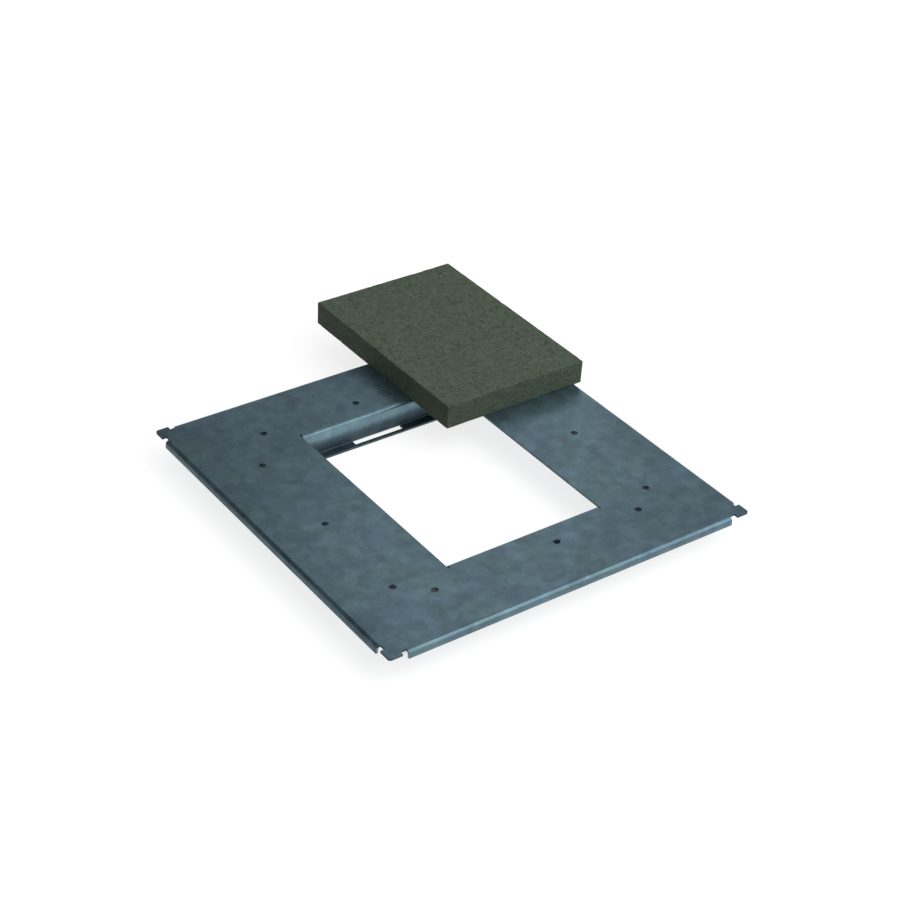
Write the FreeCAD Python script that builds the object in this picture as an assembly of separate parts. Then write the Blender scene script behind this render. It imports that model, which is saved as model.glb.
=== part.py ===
import FreeCAD, Part
import math
import os

# Insert board that closes the opening
board_length = 205.0
board_width = 145.0
board_thickness = 22.0
board_edge_break = 0.6

# Clearance of the board in its seat
end_clearance = 1.0
side_clearance = 3.0

# Square plate with its outer edges turned down
plate_side = 350.0
sheet = 2.0
edge_depth = 7.0
edge_bend_inside = 1.5
corner_tab = 12.0
corner_tip_round = 2.5
relief_width = 5.5
relief_margin = 0.5

# Folded seat at each short side of the opening
seat_bend_inside = 1.5
seat_relief_width = 1.5
seat_relief_margin = 1.0
lip_width = 8.0
lip_bend_inside = 1.0
slot_length = 49.0
slot_margin = 3.0

# Screw holes in the border round the opening
hole_diameter = 6.0
side_row_from_opening = 49.5
side_row_pitch = 95.0
side_row_shift = -10.0
end_row_from_seat = 18.0
end_row_half_span = 100.0
front_middle_hole = 17.0
back_middle_hole = -8.0

# Where the lifted board lies: how far it reaches past the plate's right and back edges
right_overhang = 5.5
back_overhang = 80.5

# Worked out from the values above
half_plate = plate_side / 2
edge_bend_outside = edge_bend_inside + sheet
relief_depth = edge_bend_outside + relief_margin
edge_length = plate_side - 2 * (corner_tab + relief_width)
half_opening = board_width / 2 + side_clearance
wall_y = board_length / 2 + end_clearance
seat_bend_start = wall_y + seat_bend_inside + sheet
seat_mouth_y = seat_bend_start + seat_relief_margin
seat_width = 2 * (half_opening - seat_relief_width)
lip_top = -board_thickness
side_row_x = half_opening + side_row_from_opening
end_row_y = seat_bend_start + end_row_from_seat

ORIGIN = FreeCAD.Vector(0, 0, 0)
UP = FreeCAD.Vector(0, 0, 1)


def section_point(corner):
    """A corner (y, z) of a section as a point in the plane x = 0."""
    return FreeCAD.Vector(0, corner[0], corner[1])


def folded_run(corners, radii):
    """The line through the corners, with a tangent arc of the given radius at each inner corner."""
    points = [section_point(corner) for corner in corners]
    edges = []
    start = points[0]
    for before, corner, after, radius in zip(points, points[1:], points[2:], radii):
        back = (before - corner).normalize()
        ahead = (after - corner).normalize()
        half_angle = back.getAngle(ahead) / 2
        tangent = radius / math.tan(half_angle)
        middle = (back + ahead).normalize() * (radius / math.sin(half_angle) - radius)
        arc_start = corner + back * tangent
        arc_end = corner + ahead * tangent
        edges.append(Part.LineSegment(start, arc_start).toShape())
        edges.append(Part.Arc(arc_start, corner + middle, arc_end).toShape())
        start = arc_end
    edges.append(Part.LineSegment(start, points[-1]).toShape())
    return edges


def folded_strip(upper_corners, upper_radii, lower_corners, lower_radii, width):
    """A strip of folded sheet between its upper and lower faces, centred on x = 0."""
    upper = folded_run(upper_corners, upper_radii)
    lower = folded_run(lower_corners, lower_radii)
    ends = [
        Part.LineSegment(section_point(upper_corners[0]), section_point(lower_corners[0])).toShape(),
        Part.LineSegment(section_point(upper_corners[-1]), section_point(lower_corners[-1])).toShape(),
    ]
    outline = Part.Wire(Part.__sortEdges__(upper + lower + ends))
    strip = Part.Face(outline).extrude(FreeCAD.Vector(width, 0, 0))
    strip.translate(FreeCAD.Vector(-width / 2, 0, 0))
    return strip


def turned(shape, degrees):
    """A copy of the shape turned about the plate's upright axis."""
    copy = shape.copy()
    copy.rotate(ORIGIN, UP, degrees)
    return copy


def centred_box(size_x, size_y, low_z, high_z):
    """A box centred on the plate's upright axis."""
    corner = FreeCAD.Vector(-size_x / 2, -size_y / 2, low_z)
    return Part.makeBox(size_x, size_y, high_z - low_z, corner)


def flat_sheet():
    """The plate's flat: square tips, edges cut back to the outer bends, and the opening."""
    flat = centred_box(plate_side, plate_side, -sheet, 0)
    tips = [edge for edge in flat.Edges if edge.BoundBox.ZLength > sheet / 2]
    flat = flat.makeFillet(corner_tip_round, tips)
    band = Part.makeBox(2 * (half_plate - corner_tab), 2 * relief_depth, 2 * sheet)
    band.translate(FreeCAD.Vector(corner_tab - half_plate, half_plate - relief_depth, -1.5 * sheet))
    cuts = [turned(band, quarter * 90) for quarter in range(4)]
    cuts.append(centred_box(2 * half_opening, 2 * seat_mouth_y, -2 * sheet, sheet))
    return flat.cut(cuts)


def turned_down_edge():
    """One outer edge, folded down between the relief notches of two corners."""
    upper = [(half_plate - relief_depth, 0), (half_plate, 0), (half_plate, -edge_depth)]
    lower = [
        (half_plate - relief_depth, -sheet),
        (half_plate - sheet, -sheet),
        (half_plate - sheet, -edge_depth),
    ]
    return folded_strip(upper, [edge_bend_outside], lower, [edge_bend_inside], edge_length)


def seat():
    """The seat at the back: bend, wall, lower fold and the lip that carries the board."""
    lip_edge = wall_y - lip_width
    upper = [(seat_mouth_y, 0), (wall_y, 0), (wall_y, lip_top), (lip_edge, lip_top)]
    lower = [
        (seat_mouth_y, -sheet),
        (wall_y + sheet, -sheet),
        (wall_y + sheet, lip_top - sheet),
        (lip_edge, lip_top - sheet),
    ]
    upper_radii = [seat_bend_inside + sheet, lip_bend_inside]
    lower_radii = [seat_bend_inside, lip_bend_inside + sheet]
    strip = folded_strip(upper, upper_radii, lower, lower_radii, seat_width)
    return strip.cut(slot_tool())


def slot_tool():
    """The slot along the lower fold, from the lip to the middle of the fold."""
    fold_y = wall_y - lip_bend_inside
    fold_z = lip_top + lip_bend_inside
    front = wall_y - lip_width + slot_margin
    reach = 2 * (lip_bend_inside + sheet)
    corners = [(front, fold_z), (fold_y, fold_z), (fold_y + reach, fold_z - reach), (front, fold_z - reach)]
    points = [section_point(corner) for corner in corners]
    tool = Part.Face(Part.makePolygon(points + points[:1])).extrude(FreeCAD.Vector(slot_length, 0, 0))
    tool.translate(FreeCAD.Vector(-slot_length / 2, 0, 0))
    return tool


def hole_places():
    """Centres (x, y) of the screw holes: three along each side of the plate."""
    places = []
    for step in (-1, 0, 1):
        y = side_row_shift + step * side_row_pitch
        places += [(-side_row_x, y), (side_row_x, y)]
    for row_y, middle in ((-end_row_y, front_middle_hole), (end_row_y, back_middle_hole)):
        places += [(-end_row_half_span, row_y), (middle, row_y), (end_row_half_span, row_y)]
    return places


def cover_plate():
    """The whole folded plate as one solid."""
    edges = [turned(turned_down_edge(), quarter * 90) for quarter in range(4)]
    seats = [turned(seat(), half * 180) for half in range(2)]
    plate = flat_sheet().fuse(edges + seats).removeSplitter()
    drills = []
    for x, y in hole_places():
        drills.append(Part.makeCylinder(hole_diameter / 2, 3 * sheet, FreeCAD.Vector(x, y, -2 * sheet)))
    return plate.cut(drills)


def insert_board():
    """The board, lifted out of its seat and laid flat on the plate's top face."""
    corner_x = half_plate + right_overhang - board_width
    corner_y = half_plate + back_overhang - board_length
    board = Part.makeBox(board_width, board_length, board_thickness, FreeCAD.Vector(corner_x, corner_y, 0))
    return board.makeChamfer(board_edge_break, board.Edges)


os.makedirs("parts", exist_ok=True)
for name, solid in (("cover_plate", cover_plate()), ("insert_board", insert_board())):
    solid.exportStep(f"parts/{name}.step")
    print(name, solid.ShapeType, "solids", len(solid.Solids), "valid", solid.isValid(), "volume", solid.Volume)
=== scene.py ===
import itertools
import math
import random

import bmesh
import bpy
from mathutils import Matrix, Vector, noise


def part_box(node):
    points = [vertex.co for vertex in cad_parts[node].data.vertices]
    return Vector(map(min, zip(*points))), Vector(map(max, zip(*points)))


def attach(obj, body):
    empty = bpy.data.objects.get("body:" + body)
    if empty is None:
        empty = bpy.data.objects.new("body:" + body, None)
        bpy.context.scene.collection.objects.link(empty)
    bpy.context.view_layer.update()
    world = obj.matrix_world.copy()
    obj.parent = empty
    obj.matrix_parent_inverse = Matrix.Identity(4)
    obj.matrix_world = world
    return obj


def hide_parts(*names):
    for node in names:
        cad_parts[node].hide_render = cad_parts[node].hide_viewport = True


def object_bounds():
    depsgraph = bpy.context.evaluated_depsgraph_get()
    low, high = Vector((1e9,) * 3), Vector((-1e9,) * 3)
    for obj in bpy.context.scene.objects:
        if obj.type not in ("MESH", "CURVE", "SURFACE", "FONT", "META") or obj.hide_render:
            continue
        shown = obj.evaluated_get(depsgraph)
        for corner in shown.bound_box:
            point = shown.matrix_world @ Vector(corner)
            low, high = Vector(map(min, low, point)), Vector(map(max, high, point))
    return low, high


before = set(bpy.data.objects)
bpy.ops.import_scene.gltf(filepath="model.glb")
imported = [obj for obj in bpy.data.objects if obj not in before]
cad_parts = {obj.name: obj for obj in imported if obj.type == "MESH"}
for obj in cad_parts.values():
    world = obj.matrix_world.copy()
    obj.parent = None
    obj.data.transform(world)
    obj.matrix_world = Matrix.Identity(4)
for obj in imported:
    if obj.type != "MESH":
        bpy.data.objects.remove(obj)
cad_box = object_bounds()

MM = 0.001
UP = Vector((0.0, 0.0, 1.0))
WHITE = (1.0, 1.0, 1.0, 1.0)

# Camera, solved from the plate's square outline in the photograph
IMAGE_SIDE = 900
FOCAL_PIXELS = 2058.1
SENSOR_WIDTH = 36.0
CAMERA_AZIMUTH = math.radians(-37.19)
CAMERA_ELEVATION = math.radians(33.90)
CAMERA_ROLL = math.radians(3.30)
CAMERA_DISTANCE = 1.7150
CAMERA_AIM = Vector((0.0195, 0.0235, 0.0))

# Soft key lamp at the front right
KEY_PLACE = Vector((0.575, -0.63, 0.77))
KEY_SIDE = 1.1
KEY_POWER = 4.75

# Surround: its light grows from left to right, and it is seen as white walls under a grey ceiling
SURROUND_SPAN = (-0.7, 0.7)
SURROUND_LIGHT = (0.26, 0.90)
WALL_WHITE = 1.0
WALL_TOP = (0.17, 0.42)
CEILING_GREY = 0.34

# Floor: its size and level, its own glow, its grey, and the darker grey of the shade painted on it under
# the plate
FLOOR_SIDE = 8.0
FLOOR_LEVEL = cad_box[0].z
FLOOR_GLOW = 0.78
FLOOR_GREY = 0.40
FLOOR_PAINTED_SHADE_GREY = 0.28

# Floor under the plate where shade is painted on it, and the part under the opening, where light reaches
# through, left without it
PAINTED_SHADE_X = (-0.150, 0.170)
PAINTED_SHADE_Y = (-0.148, 0.170)
PAINTED_SHADE_SOFT = 10 * MM
OPEN_X = (-0.072, 0.106)
OPEN_Y = (-0.097, 0.116)
OPEN_SOFT = 4 * MM

# Cards that only reflections see: place, the way they face, size, light in the middle and at the edge
CARD_FADE = (0.06, 0.5)
CARD_LEVEL = FLOOR_LEVEL + 0.5 * MM
CARDS = {
    "dark_card": {
        "place": Vector((-0.26, 0.91, 0.88)),
        "direction": Vector((-0.26, 0.91, 0.88)),
        "size": (1.6, 1.0),
        "light": (0.0, 0.0),
    },
    "left_card": {
        "place": Vector((-0.91, 0.86, 0.32)),
        "direction": Vector((-0.91, 0.86, 0.32)),
        "size": (0.9, 0.7),
        "light": (0.0, 0.0),
    },
    # A grey sheet on the floor at the plate's left, seen only in reflections: painted shade that stands in
    # for the floor's shade there.
    "floor_shade_card": {
        "place": Vector((-0.43, 0.10, CARD_LEVEL)),
        "direction": UP,
        "size": (0.5, 0.8),
        "light": (0.36, 0.36),
    },
    "front_card": {
        "place": Vector((0.12, -0.44, CARD_LEVEL)),
        "direction": UP,
        "size": (1.0, 0.5),
        "light": (0.60, 0.60),
    },
    "pale_card": {
        "place": Vector((0.325, 0.33, 0.397)),
        "direction": Vector((0.35, 0.38, 0.40)),
        "size": (0.58, 0.62),
        "light": (0.65, 0.25),
    },
}

# Plate: welding of its solid's mesh, and rounding of the sheet's cut edges
WELD_REACH = 0.001 * MM
FLAT_ANGLE = math.radians(0.5)
SHARP_ANGLE = math.radians(35)
SMOOTH_ANGLE = math.radians(40)
EDGE_ROUND = 0.25 * MM
EDGE_SEGMENTS = 2
EDGE_PROFILE = 0.5
FLAT_FACE_WEIGHT = 100

# Board: mesh spacing
BOARD_STEP = 1.25 * MM
ARRIS_STEPS = (0.0, 0.3 * MM, 0.7 * MM, 1.2 * MM)

# Board: worn arrises, grain of its faces and sawn sides, and the waves a metre of each
ARRIS_ROUND = 0.75 * MM
ARRIS_WEAR = 0.45 * MM
WEAR_WAVES = (110.0, 420.0)
FACE_GRAIN = 0.07 * MM
SIDE_GRAIN = 0.18 * MM
FINE_WAVES = 900.0
FINE_SHARE = 0.4
COARSE_WAVES = 330.0
COARSE_SHARE = 0.6

# Board: nicks along its arrises
NICK_SEED = 7
NICK_COUNT = 46
NICK_REACH = (1.5 * MM, 4.5 * MM)
NICK_DEPTH = 0.55 * MM
NICK_MEAN = 0.7
NICK_UNEVEN = 0.6
NICK_WAVES = 600.0

# Noise: the span that holds nearly all of its values. The scales below are in patches a metre
NOISE_SPAN = (0.3, 0.7)
WHOLE_SPAN = (0.0, 1.0)

# Steel: its two blues, and how its clouds, mottling, spangle and rolling lines vary them
STEEL_BLUE = (0.162, 0.256, 0.322, 1.0)
STEEL_TEAL = (0.170, 0.278, 0.316, 1.0)
TINT_NOISE = {"scale": 26.0, "detail": 3.0, "rough": 0.6}
TINT_SPAN = (0.38, 0.62)
CLOUD_NOISE = {"scale": 11.0, "detail": 4.0, "rough": 0.6, "warp": 0.4}
CLOUD_SHIFT = (0.634, -0.342, 0.0)
CLOUD_SWING = 0.14
MOTTLE_NOISE = {"scale": 85.0, "detail": 3.0, "rough": 0.6}
MOTTLE_SWING = 0.11
SPANGLE_SCALE = 105.0
SPANGLE_SWING = 0.07
ROLLING_STRETCH = (14.0, 900.0, 60.0)
ROLLING_NOISE = {"scale": 1.0, "detail": 2.0}
ROLLING_SWING = 0.04

# Steel: painted shade, darker deep in the recess and on punched edges, which are steep and no deeper than
# the sheet, and rougher there
RECESS_SHADE_DEPTH = (-16 * MM, -5 * MM)
STEEP_NORMAL = (0.1, 0.3)
SHEET_UNDERSIDE = (-2.4 * MM, -2.1 * MM)
PAINTED_SHADE_FACTOR = 0.45
PAINTED_SHADE_ROUGHNESS = 0.2

# Steel: gloss and relief
STEEL_METALLIC = 0.8
STEEL_SPECULAR = 0.4
STEEL_ROUGHNESS = (0.28, 0.38)
GLOSS_NOISE = {"scale": 60.0, "detail": 3.0}
SPANGLE_ROUGHNESS = (-0.03, 0.03)
PORE_NOISE = {"scale": 1600.0, "detail": 2.0}
ROLLING_RELIEF = 0.6
STEEL_BUMP = {"Strength": 0.12, "Distance": 0.2 * MM}

# Board: flakes and smaller chips, in pieces a metre along and across them, and in layers a metre
FLAKE_SCALE = (240.0, 640.0)
CHIP_SCALE = (520.0, 1150.0)
LAYER_SCALE = 900.0

# Board: patches where they lie one way or the other, as a share of their scale, and their warped outlines
TURN_SCALE = 0.75
TURN_SPAN = (0.47, 0.53)
WARP_NOISE = {"Scale": 260.0, "Detail": 2.0}
WARP_REACH = (2.5 * MM, 2.5 * MM, 1.0 * MM)

# Board: dust, mottling and larger patches
DUST_NOISE = {"scale": 2100.0, "detail": 3.0, "rough": 0.65}
BOARD_MOTTLE_NOISE = {"scale": 150.0, "detail": 2.0, "rough": 0.5}
PATCH_NOISE = {"scale": 34.0, "detail": 3.0, "rough": 0.6}

# Board: what its tone is made up of
FLAKE_SHARE = 0.22
CHIP_SHARE = 0.25
DUST_SHARE = 0.23
MOTTLE_SHARE = 0.30
TONE_SPAN = (0.28, 0.72)

# Board: its colours, and how much of it takes each
BOARD_DARK = (0.050, 0.070, 0.048, 1.0)
BOARD_LIGHT = (0.114, 0.156, 0.114, 1.0)
OLIVE_PATCH = (0.090, 0.116, 0.074, 1.0)
OLIVE_SPAN = (0.35, 0.65)
OLIVE_SHARE = 0.5
PALE_FLAKE = (0.15, 0.145, 0.10, 1.0)
PALE_SPAN = (0.93, 0.97)
PALE_SHARE = 0.5
DARK_FLAKE = (0.030, 0.036, 0.028, 1.0)
DARK_SPAN = (0.90, 0.96)
DARK_SHARE = 0.55
SAWN_SIDE = (0.040, 0.052, 0.038, 1.0)
SIDE_NORMAL = (0.45, 0.8)
SIDE_SHARE = 0.06

# Board: gloss, and relief on its faces and on its sides
BOARD_SPECULAR = 0.25
BOARD_ROUGHNESS = (0.72, 0.9)
CHIP_RELIEF = 0.5
BOARD_BUMP = (0.25, 0.6)
BOARD_BUMP_DEPTH = 0.4 * MM


class Nodes:
    """A node tree, built from node types with their settings and inputs."""

    def __init__(self, tree):
        self.tree = tree
        self.tree.nodes.clear()

    def put(self, value, socket):
        """Links a socket to an input, or sets its value."""
        if isinstance(value, bpy.types.NodeSocket):
            self.tree.links.new(value, socket)
        else:
            socket.default_value = value

    def add(self, kind, inputs=None, **settings):
        """A new node of that kind."""
        node = self.tree.nodes.new("ShaderNode" + kind)
        for key, value in settings.items():
            setattr(node, key, value)
        for key, value in (inputs or {}).items():
            self.put(value, node.inputs[key])
        return node

    def maths(self, operation, first, second=0.0):
        """One calculation with two numbers."""
        return self.add("Math", {0: first, 1: second}, operation=operation).outputs[0]

    def product(self, first, *others):
        """All the values multiplied together."""
        for other in others:
            first = self.maths("MULTIPLY", first, other)
        return first

    def weighted(self, *terms):
        """The sum of all the values, each times its weight."""
        total = 0.0
        for value, weight in terms:
            total = self.add("Math", {0: value, 1: weight, 2: total}, operation="MULTIPLY_ADD").outputs[0]
        return total

    def fade(self, value, low, high, out_low=0.0, out_high=1.0):
        """A smooth step from one number to another, as the value goes from low to high."""
        inputs = {0: value, 1: low, 2: high, 3: out_low, 4: out_high}
        return self.add("MapRange", inputs, interpolation_type="SMOOTHSTEP").outputs[0]

    def swing(self, value, span, amount):
        """A factor that goes from below one to above one by that amount, as the value crosses the span."""
        return self.fade(value, *span, 1.0 - amount, 1.0 + amount)

    def blend(self, share, first, second, how="MIX"):
        """A mix of two colours."""
        node = self.add("Mix", {0: share, 6: first, 7: second}, data_type="RGBA", blend_type=how)
        return node.outputs[2]

    def grey(self, value):
        """The grey of that value."""
        return self.add("CombineColor", {0: value, 1: value, 2: value}).outputs[0]

    def channels(self, colour):
        """The three numbers of a colour."""
        return self.add("SeparateColor", {0: colour}).outputs

    def axes(self, vector):
        """The X, Y and Z of a vector."""
        return self.add("SeparateXYZ", {0: vector}).outputs

    def place(self):
        """Coordinates on the object, in metres."""
        return self.add("TexCoord").outputs["Object"]

    def tilt(self):
        """How far a surface faces up or down: one if it is level, and zero if it is upright."""
        normal = self.add("NewGeometry").outputs["Normal"]
        return self.maths("ABSOLUTE", self.axes(normal)["Z"])

    def mapped(self, place, **changes):
        """Coordinates with a Scale along each axis or a new Location."""
        return self.add("Mapping", {"Vector": place, **changes}).outputs[0]

    def grain(self, place, scale, detail=3.0, rough=0.55, warp=0.0):
        """Cloudy noise with about that many patches a metre."""
        inputs = {"Vector": place, "Scale": scale, "Detail": detail, "Roughness": rough, "Distortion": warp}
        return self.add("TexNoise", inputs).outputs[0]

    def cells(self, place, scale):
        """Patches with a colour of their own, about that many a metre."""
        return self.add("TexVoronoi", {"Vector": place, "Scale": scale}).outputs["Color"]

    def surface(self, shader):
        """Makes a shader the material's surface."""
        self.add("OutputMaterial", {"Surface": shader.outputs[0]})


def new_material(name):
    """An empty node material, and the tree to build it in."""
    material = bpy.data.materials.new(name)
    material.use_nodes = True
    return material, Nodes(material.node_tree)


def new_object(name, data):
    """A new object in the scene."""
    thing = bpy.data.objects.new(name, data)
    bpy.context.scene.collection.objects.link(thing)
    return thing


def new_piece(name, form):
    """A new object with the faces of a finished bmesh."""
    mesh = bpy.data.meshes.new(name)
    form.to_mesh(mesh)
    form.free()
    return new_object(name, mesh)


def new_square(name, side):
    """A new level square."""
    form = bmesh.new()
    bmesh.ops.create_grid(form, x_segments=1, y_segments=1, size=side / 2)
    return new_piece(name, form)


def smooth_faces(form):
    """Lets light run smoothly across the faces."""
    for face in form.faces:
        face.smooth = True


def aim(thing, direction):
    """Turns a lamp or a card square to that direction. A lamp then shines the opposite way."""
    thing.rotation_mode = "QUATERNION"
    thing.rotation_quaternion = (-direction).to_track_quat("-Z", "Y")


def steel_material():
    """Galvanised sheet: blue and teal patches, faint spangle, rolling lines, and painted shade in the
    recess and on punched edges.
    """
    material, nodes = new_material("galvanised_steel")
    place = nodes.place()
    depth = nodes.axes(place)["Z"]
    cloud = nodes.grain(nodes.mapped(place, Location=CLOUD_SHIFT), **CLOUD_NOISE)
    mottle = nodes.grain(place, **MOTTLE_NOISE)
    spangle = nodes.channels(nodes.cells(place, SPANGLE_SCALE))
    rolling = nodes.grain(nodes.mapped(place, Scale=ROLLING_STRETCH), **ROLLING_NOISE)
    # Painted shade: the steel turns darker from 5 to 16 mm below the top, down the recess walls.
    recess_shade = nodes.fade(depth, *RECESS_SHADE_DEPTH, 1.0, 0.0)
    steep = nodes.fade(nodes.tilt(), *STEEP_NORMAL, 1.0, 0.0)
    # Painted shade: steep punched edges and hole walls within the sheet's thickness are darkened, so the
    # holes read dark.
    punched_edge_shade = nodes.product(steep, nodes.fade(depth, *SHEET_UNDERSIDE))

    tint = nodes.fade(nodes.grain(place, **TINT_NOISE), *TINT_SPAN)
    value = nodes.product(
        nodes.swing(cloud, NOISE_SPAN, CLOUD_SWING),
        nodes.swing(mottle, NOISE_SPAN, MOTTLE_SWING),
        nodes.swing(spangle[0], WHOLE_SPAN, SPANGLE_SWING),
        nodes.swing(rolling, NOISE_SPAN, ROLLING_SWING),
        nodes.fade(recess_shade, *WHOLE_SPAN, 1.0, PAINTED_SHADE_FACTOR),
        nodes.fade(punched_edge_shade, *WHOLE_SPAN, 1.0, PAINTED_SHADE_FACTOR),
    )
    colour = nodes.blend(1.0, nodes.blend(tint, STEEL_BLUE, STEEL_TEAL), nodes.grey(value), "MULTIPLY")

    gloss = nodes.fade(nodes.grain(place, **GLOSS_NOISE), *NOISE_SPAN, *STEEL_ROUGHNESS)
    crystal = nodes.fade(spangle[1], *WHOLE_SPAN, *SPANGLE_ROUGHNESS)
    # Where shade is painted, the steel is also made rougher.
    painted_shade = nodes.maths("MAXIMUM", recess_shade, punched_edge_shade)
    roughness = nodes.weighted((gloss, 1.0), (crystal, 1.0), (painted_shade, PAINTED_SHADE_ROUGHNESS))
    height = nodes.weighted((nodes.grain(place, **PORE_NOISE), 1.0), (rolling, ROLLING_RELIEF))
    nodes.surface(nodes.add("BsdfPrincipled", {
        "Base Color": colour,
        "Metallic": STEEL_METALLIC,
        "Roughness": roughness,
        "Normal": nodes.add("Bump", {"Height": height, **STEEL_BUMP}).outputs[0],
        "Specular IOR Level": STEEL_SPECULAR,
    }))
    return material


def flakes(nodes, place, along, across):
    """Colours of flat flakes that lie in two directions, with that many a metre along and across them."""
    first = nodes.cells(nodes.mapped(place, Scale=(along, across, LAYER_SCALE)), scale=1.0)
    second = nodes.cells(nodes.mapped(place, Scale=(across, along, LAYER_SCALE)), scale=1.0)
    which = nodes.fade(nodes.grain(place, TURN_SCALE * along, detail=1.0), *TURN_SPAN)
    return nodes.channels(nodes.blend(which, first, second))


def board_material():
    """Dense green-grey particle board: flakes, chips and dust pressed flat, darker on the sawn sides."""
    material, nodes = new_material("particle_board")
    place = nodes.place()
    side = nodes.fade(nodes.tilt(), *SIDE_NORMAL, 1.0, 0.0)
    warp = nodes.add("TexNoise", {"Vector": place, **WARP_NOISE}).outputs["Color"]
    bent = nodes.add("VectorMath", {0: warp, 1: WARP_REACH}, operation="MULTIPLY").outputs[0]
    bent = nodes.add("VectorMath", {0: place, 1: bent}, operation="ADD").outputs[0]
    flake = flakes(nodes, bent, *FLAKE_SCALE)
    chip = flakes(nodes, bent, *CHIP_SCALE)
    dust = nodes.grain(place, **DUST_NOISE)
    mottle = nodes.grain(place, **BOARD_MOTTLE_NOISE)
    patch = nodes.grain(place, **PATCH_NOISE)

    tone = nodes.weighted(
        (flake[0], FLAKE_SHARE), (chip[0], CHIP_SHARE), (dust, DUST_SHARE), (mottle, MOTTLE_SHARE),
    )
    colour = nodes.blend(nodes.fade(tone, *TONE_SPAN), BOARD_DARK, BOARD_LIGHT)
    colour = nodes.blend(nodes.fade(patch, *OLIVE_SPAN, 0.0, OLIVE_SHARE), colour, OLIVE_PATCH)
    colour = nodes.blend(nodes.fade(flake[1], *PALE_SPAN, 0.0, PALE_SHARE), colour, PALE_FLAKE)
    colour = nodes.blend(nodes.fade(flake[2], *DARK_SPAN, 0.0, DARK_SHARE), colour, DARK_FLAKE)
    colour = nodes.blend(nodes.product(side, SIDE_SHARE), colour, SAWN_SIDE)

    height = nodes.weighted((chip[0], CHIP_RELIEF), (dust, 1.0))
    strength = nodes.fade(side, *WHOLE_SPAN, *BOARD_BUMP)
    bump = nodes.add("Bump", {"Height": height, "Strength": strength, "Distance": BOARD_BUMP_DEPTH})
    nodes.surface(nodes.add("BsdfPrincipled", {
        "Base Color": colour,
        "Roughness": nodes.fade(dust, *NOISE_SPAN, *BOARD_ROUGHNESS),
        "Normal": bump.outputs[0],
        "Specular IOR Level": BOARD_SPECULAR,
    }))
    return material


def add_plate():
    """The folded plate: its solid's own mesh, welded, with every cut edge slightly rounded."""
    sheet = bmesh.new()
    sheet.from_mesh(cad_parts["cover_plate"].data)
    bmesh.ops.remove_doubles(sheet, verts=sheet.verts, dist=WELD_REACH)
    bmesh.ops.dissolve_limit(sheet, angle_limit=FLAT_ANGLE, verts=sheet.verts, edges=sheet.edges)
    sharp = [edge for edge in sheet.edges if edge.calc_face_angle(0) > SHARP_ANGLE]
    bmesh.ops.bevel(
        sheet,
        geom=sharp,
        offset=EDGE_ROUND,
        segments=EDGE_SEGMENTS,
        profile=EDGE_PROFILE,
        affect="EDGES",
        clamp_overlap=True,
    )
    smooth_faces(sheet)
    piece = new_piece("folded_plate", sheet)
    piece.data.set_sharp_from_angle(angle=SMOOTH_ANGLE)
    flatten = piece.modifiers.new("flat_faces", "WEIGHTED_NORMAL")
    flatten.keep_sharp = True
    flatten.weight = FLAT_FACE_WEIGHT
    piece.data.materials.append(steel_material())
    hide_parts("cover_plate")
    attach(piece, "root")


def spaced(low, high):
    """Mesh lines from low to high: close together at both ends, for the arrises, and even between."""
    inner = ARRIS_STEPS[-1]
    count = round((high - low - 2 * inner) / BOARD_STEP)
    middle = [low + inner + (high - low - 2 * inner) * step / count for step in range(1, count)]
    return [low + step for step in ARRIS_STEPS] + middle + [high - step for step in reversed(ARRIS_STEPS)]


def box_grid(low, high):
    """A closed mesh of a box, each side divided along the spaced lines."""
    grid = bmesh.new()
    lines = [spaced(low[axis], high[axis]) for axis in range(3)]
    spans = [range(len(line) - 1) for line in lines]
    made = {}

    def point(index):
        """The one vertex where those three lines meet."""
        if index not in made:
            made[index] = grid.verts.new([lines[axis][index[axis]] for axis in range(3)])
        return made[index]

    for axis in range(3):
        first, second = (axis + 1) % 3, (axis + 2) % 3
        for end, row, column in itertools.product((0, len(spans[axis])), spans[first], spans[second]):
            corners = []
            for row_step, column_step in ((0, 0), (1, 0), (1, 1), (0, 1)):
                index = [0, 0, 0]
                index[axis] = end
                index[first] = row + row_step
                index[second] = column + column_step
                corners.append(point(tuple(index)))
            grid.faces.new(corners if end else corners[::-1])
    return grid


def edge_nicks(low, high):
    """Places along the board's eight long edges where the arris is nicked, each with its reach."""
    draw = random.Random(NICK_SEED)
    nicks = []
    for _ in range(NICK_COUNT):
        along = draw.randrange(2)
        spot = [draw.choice((low[axis], high[axis])) for axis in range(3)]
        spot[along] = draw.uniform(low[along], high[along])
        nicks.append((Vector(spot), draw.uniform(*NICK_REACH)))
    return nicks


def noise_at(place, waves):
    """Noise from zero to one, with about that many waves a metre."""
    return 0.5 + 0.5 * noise.noise(place * waves)


def worn(start, low, high):
    """Where a point of the box lies on the worn board, with uneven arrises and grainy faces and sides."""
    wear = sum(noise.noise(start * waves) for waves in WEAR_WAVES) / len(WEAR_WAVES)
    radius = ARRIS_ROUND + ARRIS_WEAR * wear
    core = Vector([min(max(start[axis], low[axis] + radius), high[axis] - radius) for axis in range(3)])
    outward = (start - core).normalized()
    place = core + outward * radius
    on_face = abs(outward.z)
    fine = noise_at(place, FINE_WAVES)
    coarse = noise_at(place, COARSE_WAVES)
    sawn = SIDE_GRAIN * (FINE_SHARE * fine + COARSE_SHARE * coarse)
    return place - outward * (FACE_GRAIN * fine * on_face + sawn * (1 - on_face))


def nicked(place, start, nicks, middle):
    """A worn place, moved in towards the board's middle by each nick near its start on the box."""
    for spot, reach in nicks:
        near = 1 - (start - spot).length / reach
        if near > 0:
            bite = NICK_DEPTH * near * (NICK_MEAN + NICK_UNEVEN * noise.noise(place * NICK_WAVES))
            place = place + (middle - spot).normalized() * bite
    return place


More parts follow.
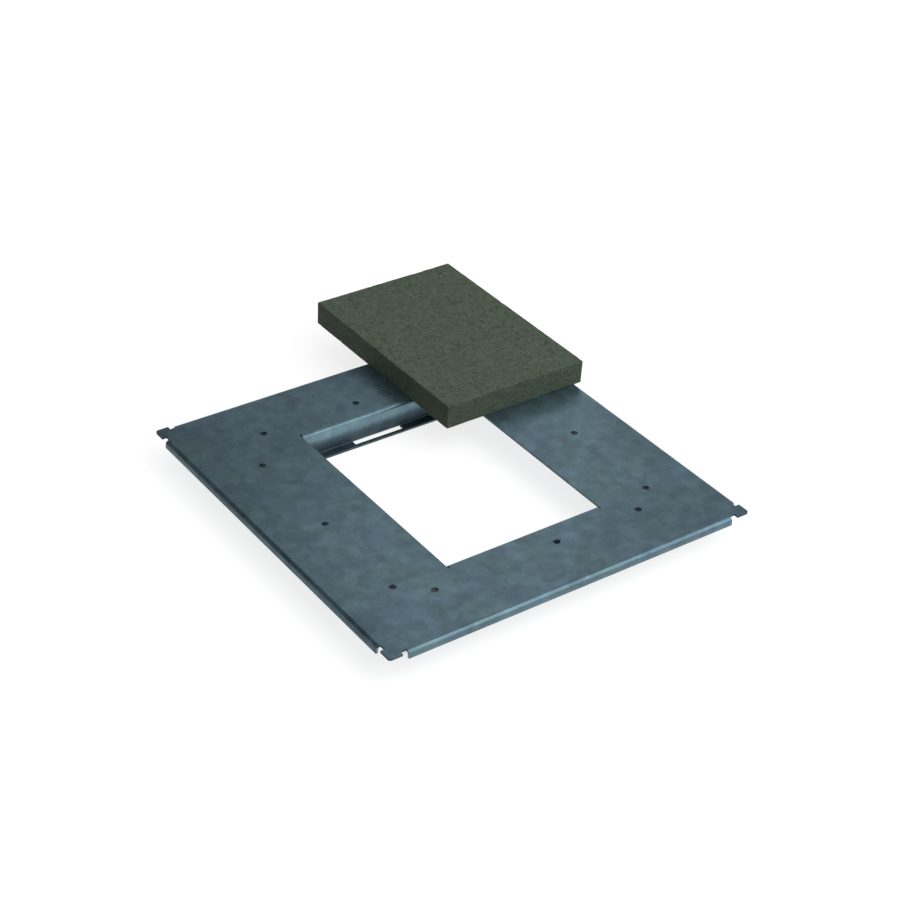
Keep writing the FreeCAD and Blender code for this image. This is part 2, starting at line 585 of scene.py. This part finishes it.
def add_board():
    """The insert board, with worn arrises, nicks and rough sawn sides, inside its solid's box."""
    low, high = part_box("insert_board")
    middle = (low + high) / 2
    grid = box_grid(low, high)
    nicks = edge_nicks(low, high)
    for vert in grid.verts:
        start = vert.co.copy()
        vert.co = nicked(worn(start, low, high), start, nicks, middle)
    smooth_faces(grid)
    piece = new_piece("worn_board", grid)
    piece.data.materials.append(board_material())
    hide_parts("insert_board")
    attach(piece, "root")


def seen_rays(nodes):
    """One for rays that the camera, a reflection or glass sends out, and zero for lighting rays."""
    path = nodes.add("LightPath").outputs
    seen = nodes.maths("MAXIMUM", path["Is Camera Ray"], path["Is Glossy Ray"])
    return nodes.maths("MAXIMUM", seen, path["Is Transmission Ray"])


def inside(nodes, axes, span_x, span_y, soft):
    """One where a place is inside both spans, fading to zero outside them."""
    share = 1.0
    for value, (low, high) in ((axes["X"], span_x), (axes["Y"], span_y)):
        rise = nodes.fade(value, low - soft, low + soft)
        fall = nodes.fade(value, high - soft, high + soft, 1.0, 0.0)
        share = nodes.product(share, rise, fall)
    return share


def add_floor():
    """A plain white floor under the plate's lips, which keeps the object's shadow and has shade painted on
    it under the plate.
    """
    floor = new_square("floor", FLOOR_SIDE)
    floor.location.z = FLOOR_LEVEL
    material, nodes = new_material("floor")
    axes = nodes.axes(nodes.place())
    under = inside(nodes, axes, PAINTED_SHADE_X, PAINTED_SHADE_Y, PAINTED_SHADE_SOFT)
    opened = inside(nodes, axes, OPEN_X, OPEN_Y, OPEN_SOFT)
    # Painted shade: under the plate, away from the opening, the floor loses its glow and turns a darker
    # grey.
    painted_floor_shade = nodes.product(under, nodes.maths("SUBTRACT", 1.0, opened))
    grey = nodes.fade(painted_floor_shade, *WHOLE_SPAN, FLOOR_GREY, FLOOR_PAINTED_SHADE_GREY)
    matt = nodes.add("BsdfDiffuse", {"Color": nodes.grey(grey)})
    lit = nodes.fade(painted_floor_shade, *WHOLE_SPAN, FLOOR_GLOW, 0.0)
    glow = nodes.add("Emission", {"Strength": nodes.product(lit, seen_rays(nodes))})
    nodes.surface(nodes.add("AddShader", {0: matt.outputs[0], 1: glow.outputs[0]}))
    material.cycles.emission_sampling = "NONE"
    floor.data.materials.append(material)


def add_card(name, place, direction, size, light):
    """A card that only reflections see, with its light fading from the middle to the edge."""
    card = new_square(name, 1.0)
    card.location = place
    aim(card, direction)
    card.scale = (*size, 1.0)
    card.visible_camera = False
    card.visible_diffuse = False
    card.visible_shadow = False
    material, nodes = new_material(name)
    radius = nodes.add("VectorMath", {0: nodes.place()}, operation="LENGTH").outputs["Value"]
    nodes.surface(nodes.add("Emission", {"Strength": nodes.fade(radius, *CARD_FADE, *light)}))
    material.cycles.emission_sampling = "NONE"
    card.data.materials.append(material)


def add_key():
    """The key lamp."""
    lamp = bpy.data.lights.new("key", "AREA")
    lamp.shape = "SQUARE"
    lamp.size = KEY_SIDE
    lamp.energy = KEY_POWER
    key = new_object("key", lamp)
    key.location = KEY_PLACE
    aim(key, KEY_PLACE)


def add_surround():
    """The surround: soft light that grows to the right, and the walls and ceiling that are seen."""
    world = bpy.data.worlds.new("surround")
    bpy.context.scene.world = world
    world.use_nodes = True
    world.cycles.sampling_method = "NONE"
    nodes = Nodes(world.node_tree)
    direction = nodes.axes(nodes.add("TexCoord").outputs["Generated"])
    light = nodes.fade(direction["X"], *SURROUND_SPAN, *SURROUND_LIGHT)
    seen = nodes.fade(direction["Z"], *WALL_TOP, WALL_WHITE, CEILING_GREY)
    strength = nodes.fade(seen_rays(nodes), *WHOLE_SPAN, light, seen)
    background = nodes.add("Background", {"Color": WHITE, "Strength": strength})
    nodes.add("OutputWorld", {"Surface": background.outputs[0]})


def add_camera():
    """The photograph's camera."""
    level_part = math.cos(CAMERA_ELEVATION)
    back = Vector((
        math.sin(CAMERA_AZIMUTH) * level_part,
        -math.cos(CAMERA_AZIMUTH) * level_part,
        math.sin(CAMERA_ELEVATION),
    ))
    level = Vector((math.cos(CAMERA_AZIMUTH), math.sin(CAMERA_AZIMUTH), 0))
    upright = back.cross(level)
    right = level * math.cos(CAMERA_ROLL) + upright * math.sin(CAMERA_ROLL)
    up = upright * math.cos(CAMERA_ROLL) - level * math.sin(CAMERA_ROLL)
    lens = bpy.data.cameras.new("photo_camera")
    lens.sensor_width = SENSOR_WIDTH
    lens.lens = FOCAL_PIXELS / IMAGE_SIDE * SENSOR_WIDTH
    camera = new_object("photo_camera", lens)
    turn = Matrix((right, up, back)).transposed().to_4x4()
    camera.matrix_world = Matrix.Translation(CAMERA_AIM + back * CAMERA_DISTANCE) @ turn
    bpy.context.scene.camera = camera


add_plate()
add_board()
add_floor()
for card_name, card in CARDS.items():
    add_card(card_name, **card)
add_key()
add_surround()
add_camera()
bpy.context.scene.view_settings.view_transform = "Standard"
